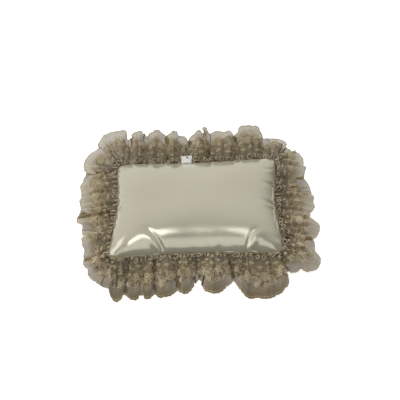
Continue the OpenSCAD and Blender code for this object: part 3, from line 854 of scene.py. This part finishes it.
def stitchRow(grow, z, pitch, start, end):
    # a row of stitches along an outline: each is a short thread whose middle stands up and whose ends dip
    radius = seam["cornerRadius"] + grow
    count = int((end - start) / pitch)
    middle = start + (np.arange(count) + 0.5) * pitch
    s = np.linspace(-0.5, 0.5, 7)
    at = station(middle[:, None] + s * stitch["length"], radius)
    plane = outline(at, grow, radius)
    height = z + stitch["rise"] * np.cos(np.pi * s) - stitch["sink"]
    points = np.concatenate([plane, np.broadcast_to(height, plane.shape[:2])[..., None]], axis=-1)
    ups = np.zeros_like(points)
    ups[..., 2] = 1
    swollen = np.broadcast_to(0.35 + 0.65 * np.cos(np.pi * s), plane.shape[:2])
    return cords(points, ups, stitch["radius"] * swollen, False)


def wholeRow(grow, z, pitch):
    # a row all round the outline that lies grow outside the seam
    return stitchRow(grow, z, pitch, 0, stretchEnds(seam["cornerRadius"] + grow)[-1])


print("stitches")
sewingThread = threadMaterial("sewing_thread", (0.66, 0.62, 0.5, 1), (0.5, 0.46, 0.36, 1), 2000.0, 0.45)
overTape = tapeHigh[2] + 0.0002
stitchRows = {
    "gatheringStitches": (joined([wholeRow(g, tapeLow[2] - 0.0002, 0.006) for g in (-0.006, -0.0045)]),
                          laceCord, "gathering_stitches", "lace_thread"),
    "seamStitching": (wholeRow(-0.004, overTape, 0.005), sewingThread, "seam_stitching", "sewing_thread"),
    "closingStitches": (stitchRow(0.0003, tapeHigh[2] + 0.0005, 0.004, closing["middle"] - closing["half"],
                                  closing["middle"] + closing["half"]),
                        sewingThread, "closing_stitches", "sewing_thread"),
}
# stitches across the lace where its two ends meet
joinV = np.linspace(0.08, 0.92, 9)[:, None] * lace["width"] + np.zeros(7)
joinU = laceLength - 0.006 + np.linspace(-0.0016, 0.0016, 7) + np.zeros((9, 1))
arch = np.cos(np.linspace(-1.57, 1.57, 7))
joinPoints, joinUps = onLace(joinU, joinV, np.full(joinU.shape, 0.0005) + 0.0004 * arch)
stitchRows["laceJoinStitches"] = (cords(joinPoints, joinUps, 0.00032, False), laceCord,
                                  "lace_join_stitches", "lace_thread")
# two short stitches across the root of the label
labelX = (labelLow[0] + labelHigh[0]) / 2 + np.array([-1, 1])[:, None] * 0.00425 + np.linspace(-0.0015, 0.0015, 7)
labelStitchPoints = np.stack([labelX, np.full_like(labelX, labelLow[1] - 0.0001),
                              overTape + 0.0002 * arch + 0 * labelX], axis=-1)
labelUps = np.zeros_like(labelStitchPoints)
labelUps[..., 2] = 1
stitchRows["labelStitches"] = (cords(labelStitchPoints, labelUps, 0.00018, False), sewingThread,
                               "label_stitches", "sewing_thread")
for name, ((points, faces), material, node, slot) in stitchRows.items():
    row = putMesh(name, points, faces)
    row.data.materials.append(material)
    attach(row, "pillow")
    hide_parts(node)

# the mark's half sizes, and its place right of the label's middle and in from the folded end
label = {"leaf": 0.00028, "fold": 0.00042, "curl": 0.0012, "columns": 25,
         "mark": (0.0012, 0.0021), "markPlace": (0.0008, 0.0032)}


def labelMaterial():
    # woven label: fine ribs across, near white, with one small plain dark rectangle near the folded end
    material, tree, shader = newMaterial("label_weave", {"Roughness": 0.5, "Sheen Weight": 0.2})
    place = addNode(tree, "TexCoord").outputs["Object"]
    parts = addNode(tree, "SeparateXYZ", {"Vector": place})
    ribs = addNode(tree, "TexWave", {"Vector": place, "Scale": 1100.0, "Distortion": 0.4}, bands_direction="Y")
    cloud = addNode(tree, "TexNoise", {"Vector": place, "Scale": 300.0, "Detail": 2.0})
    paper = blendColours(tree, cloud.outputs[0], (0.78, 0.78, 0.75, 1), (0.86, 0.86, 0.84, 1))
    inX = within(tree, parts.outputs[0], (labelLow[0] + labelHigh[0]) / 2 + label["markPlace"][0], label["mark"][0])
    inY = within(tree, parts.outputs[1], labelHigh[1] - label["markPlace"][1], label["mark"][1])
    colour = blendColours(tree, mathNode(tree, "MULTIPLY", inX, inY), paper, (0.03, 0.03, 0.035, 1))
    dress(tree, shader, colour, ribs.outputs[1], 0.3, 0.0001)
    return material


def buildLabel():
    # a ribbon folded back on itself: out along the lower leaf, round the fold and back along the upper leaf, with a
    # slight curl across its width
    middle = (labelLow[2] + labelHigh[2]) / 2
    r = label["fold"]
    outY, inY = labelHigh[1] - r, labelLow[1] + 0.0001
    flat = np.linspace(inY, outY, 16)
    turn = np.linspace(-np.pi / 2, np.pi / 2, 9)[1:-1]
    y = np.concatenate([flat, outY + r * np.cos(turn), flat[::-1]])
    z = middle + np.concatenate([np.full(16, -r), r * np.sin(turn), np.full(16, r)])
    x = np.linspace(labelLow[0], labelHigh[0], label["columns"])
    across = (x - x.mean()) / (x[-1] - x[0]) * 2
    out = (y - inY) / (outY - inY)
    rise = label["curl"] * out[:, None] ** 2 * (0.4 + 0.6 * across[None] ** 2) + 0.0002 * np.sin(3 * across[None] + 1)
    return np.stack([np.broadcast_to(x, rise.shape), np.broadcast_to(y[:, None], rise.shape), z[:, None] + rise],
                    axis=-1)


print("label")
labelGrid = buildLabel()
tag = putMesh("careLabel", labelGrid, gridFaces(*labelGrid.shape[:2]))
leaf = tag.modifiers.new("leaf", "SOLIDIFY")
leaf.thickness = label["leaf"]
leaf.offset = 0
tag.data.materials.append(labelMaterial())
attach(tag, "label")
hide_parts("care_label")


def ribbonStrip(angle, side, run, heights, slant):
    # a flat strip leaving the knot at an angle: run is the distance out at each step and heights its height above
    # the table; across it bows a little, and its far end may be cut on the slant
    across = np.linspace(-1, 1, 9)
    s, z = np.asarray(run)[:, None], np.asarray(heights)[:, None]
    share = (s - s.min()) / (s.max() - s.min())
    out = s - slant * np.clip(across[None], 0, 1) * share ** 6
    t = across[None] * bow["width"] / 2
    turn = np.radians(angle)
    x = side * (out * np.cos(turn) - t * np.sin(turn))
    y = out * np.sin(turn) + t * np.cos(turn)
    lift = 0.00004 * np.sin(s * 900 + side) * (1 - across[None] ** 2)
    return np.stack([x, y, z + lift + 0 * x], axis=-1)


def buildRibbon(side):
    # each ribbon is a loop of two layers with a round end and a tail of one layer
    flat = np.linspace(bow["start"], bow["loop"] - 0.0004, 30)
    turn = np.linspace(-np.pi / 2, np.pi / 2, 7)[1:-1]
    middle, r = bow["loopMiddle"], bow["layer"]
    run = np.concatenate([flat, flat[-1] + 0.0004 * np.cos(turn), flat[::-1]])
    heights = np.concatenate([np.full(30, middle - r), middle + r * np.sin(turn), np.full(30, middle + r)])
    loop = ribbonStrip(bow["loopAngle"], side, run, heights, 0)
    tailRun = np.linspace(bow["start"], bow["tail"] - 0.0002, 40)
    tail = ribbonStrip(-bow["tailAngle"], side, tailRun, np.full(40, bow["layer"]), bow["width"] / 2)
    order = slice(None) if side > 0 else slice(None, None, -1)
    loopLength = np.linalg.norm(np.diff(loop[:, 4], axis=0), axis=1).sum()
    tailLength = np.linalg.norm(np.diff(tail[:, 4], axis=0), axis=1).sum()
    parts = [(grid.reshape(-1, 3), gridFaces(*grid.shape[:2])[:, order]) for grid in (loop, tail)]
    return joined(parts), float(loopLength + tailLength)


def buildKnot():
    # the knot: a disc whose wall bulges, with wraps of ribbon as soft ridges that turn round it
    around, up = np.meshgrid(np.linspace(0, 2 * np.pi, 97)[:-1], np.linspace(0, 1, 25), indexing="ij")
    wrap = 0.00035 * np.sin(2 * around + 9 * up) + 0.0002 * np.sin(5 * around - 6 * up + 1)
    radius = (knotHigh[0] - 0.0006) * np.sin(np.pi * up) ** 0.35 + wrap * np.sin(np.pi * up)
    z = knotLow[2] + 0.0001 + (knotHigh[2] - knotLow[2] - 0.0002) * (1 - np.cos(np.pi * up)) / 2
    points = np.stack([radius * np.cos(around), radius * np.sin(around), z], axis=-1)
    count, rows = around.shape
    faces = gridFaces(count, rows, closed=True)
    # every ring's first and last point is one shared pole
    faces = np.where(faces % rows == 0, 0, np.where(faces % rows == rows - 1, rows - 1, faces))
    walls = [tuple(dict.fromkeys(face)) for face in faces.tolist()]
    used = sorted({corner for face in walls for corner in face})
    fresh = dict(zip(used, range(len(used))))
    return points.reshape(-1, 3)[used], [tuple(fresh[corner] for corner in face) for face in walls]


print("bow")
ribbonSatin = satinMaterial("ribbon_satin", {"light": (0.66, 0.62, 0.5, 1), "dark": (0.58, 0.54, 0.43, 1),
                                             "roughness": 0.3}, 40.0)
for side, node in ((-1, "ring_ribbon_1"), (1, "ring_ribbon_2")):
    (points, faces), length = buildRibbon(side)
    ribbon = putMesh("ringRibbonLeft" if side < 0 else "ringRibbonRight", points, faces)
    weave = ribbon.modifiers.new("weave", "SOLIDIFY")
    weave.thickness = bow["thickness"]
    weave.offset = 0
    ribbon.data.materials.append(ribbonSatin)
    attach(ribbon, "pillow")
    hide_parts(node)
knot = putMesh("bowKnot", *buildKnot())
knot.data.materials.append(ribbonSatin)
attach(knot, "pillow")
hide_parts("bow_knot")


def tapeMaterial():
    # woven tape: ribs both ways
    material, tree, shader = newMaterial("tape_weave", {"Roughness": 0.8, "Sheen Weight": 0.2})
    place = addNode(tree, "TexCoord").outputs["Object"]
    one = addNode(tree, "TexWave", {"Vector": place, "Scale": 500.0}, bands_direction="X")
    two = addNode(tree, "TexWave", {"Vector": place, "Scale": 500.0}, bands_direction="Y")
    weave = mathNode(tree, "MULTIPLY", one.outputs[1], two.outputs[1])
    dress(tree, shader, blendColours(tree, weave, (0.22, 0.17, 0.105, 1), (0.36, 0.285, 0.18, 1)), weave, 0.4, 0.0002)
    return material


for nodeName, material in (("heading_tape", tapeMaterial()), ("ribbon_tack", sewingThread)):
    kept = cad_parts[nodeName]
    kept.data.materials.clear()
    kept.data.materials.append(material)

camera = {"azimuth": 6.261, "elevation": 52.902, "roll": -7.149, "distance": 0.967, "aim": (0, 0, 0.025),
          "lens": 57.6, "shift": (0.011, 0.015)}


def placeCamera():
    # looks at the aim from the azimuth and elevation, turned about its own axis by the roll
    a, e, r = (np.radians(camera[k]) for k in ("azimuth", "elevation", "roll"))
    back = Vector((np.sin(a) * np.cos(e), -np.cos(a) * np.cos(e), np.sin(e)))
    right = (-back).cross(Vector((0, 0, 1))).normalized()
    up = right.cross(-back)
    across, over = right * np.cos(r) + up * np.sin(r), up * np.cos(r) - right * np.sin(r)
    data = bpy.data.cameras.new("studioCamera")
    data.lens = camera["lens"]
    data.sensor_width = 36
    data.shift_x, data.shift_y = camera["shift"]
    data.clip_start = 0.05
    viewer = bpy.data.objects.new("studioCamera", data)
    bpy.context.scene.collection.objects.link(viewer)
    viewer.matrix_world = Matrix.Translation(Vector(camera["aim"]) + back * camera["distance"]) @ Matrix(
        (across, over, back)).transposed().to_4x4()
    bpy.context.scene.camera = viewer


placeCamera()

# softboxes: place, aim, width, length and power
lights = {
    "windowLeft": ((-0.23, -0.145, 0.85), (-0.04, -0.05, 0), 0.13, 0.31, 0.66),
    "windowRight": ((0.12, -0.14, 0.85), (0.05, -0.05, 0), 0.13, 0.28, 0.36),
    "frontStrip": ((-0.03, -0.41, 0.85), (-0.05, -0.07, 0), 1.1, 0.3, 1.45),
    "leftBox": ((-1.1, -0.05, 0.9), (0, 0, 0), 0.5, 0.7, 2.1),
}
for name, (place, aim, width, length, power) in lights.items():
    data = bpy.data.lights.new(name, "AREA")
    data.shape = "RECTANGLE"
    data.size, data.size_y = width, length
    data.energy = power
    lamp = bpy.data.objects.new(name, data)
    lamp.location = place
    lamp.rotation_euler = (Vector(place) - Vector(aim)).to_track_quat("Z", "Y").to_euler()
    bpy.context.scene.collection.objects.link(lamp)

room = {"bright": (-0.25, 0.77, 0.587), "sides": 0.35, "from": 0.38, "to": 1.0, "low": 0.07, "high": 1.13}


def buildRoom():
    # the room is dim in front and at the sides and brightens evenly towards the ceiling at the back: a direction's
    # share along bright plus its sideways share, eased from low to high
    world = bpy.data.worlds.new("studio")
    world.use_nodes = True
    tree = world.node_tree
    sky = tree.nodes["Background"]
    sky.inputs[0].default_value = (1, 1, 0.97, 1)
    direction = addNode(tree, "TexCoord").outputs["Generated"]
    towards = addNode(tree, "VectorMath", {0: direction, 1: room["bright"]}, operation="DOT_PRODUCT").outputs["Value"]
    sideways = mathNode(tree, "ABSOLUTE", addNode(tree, "SeparateXYZ", {"Vector": direction}).outputs[0])
    sideways = mathNode(tree, "MULTIPLY", sideways, room["sides"])
    tree.links.new(rangeNode(tree, mathNode(tree, "ADD", towards, sideways), room["from"], room["to"], room["low"],
                             room["high"], interpolation_type="SMOOTHSTEP"), sky.inputs[1])
    bpy.context.scene.world = world


buildRoom()
bpy.context.scene.view_settings.view_transform = "Standard"

floorPoints = np.array([(-4, -4, 0), (4, -4, 0), (4, 6, 0), (-4, 6, 0)], dtype=float)
floor = putMesh("paleFloor", floorPoints, np.array([[0, 1, 2, 3]]), smooth=False)
floor.data.materials.append(newMaterial("pale_floor", {
    "Base Color": (0.93, 0.93, 0.92, 1), "Roughness": 0.9, "Emission Color": (1, 1, 1, 1), "Emission Strength": 0.8,
})[0])

print("done")
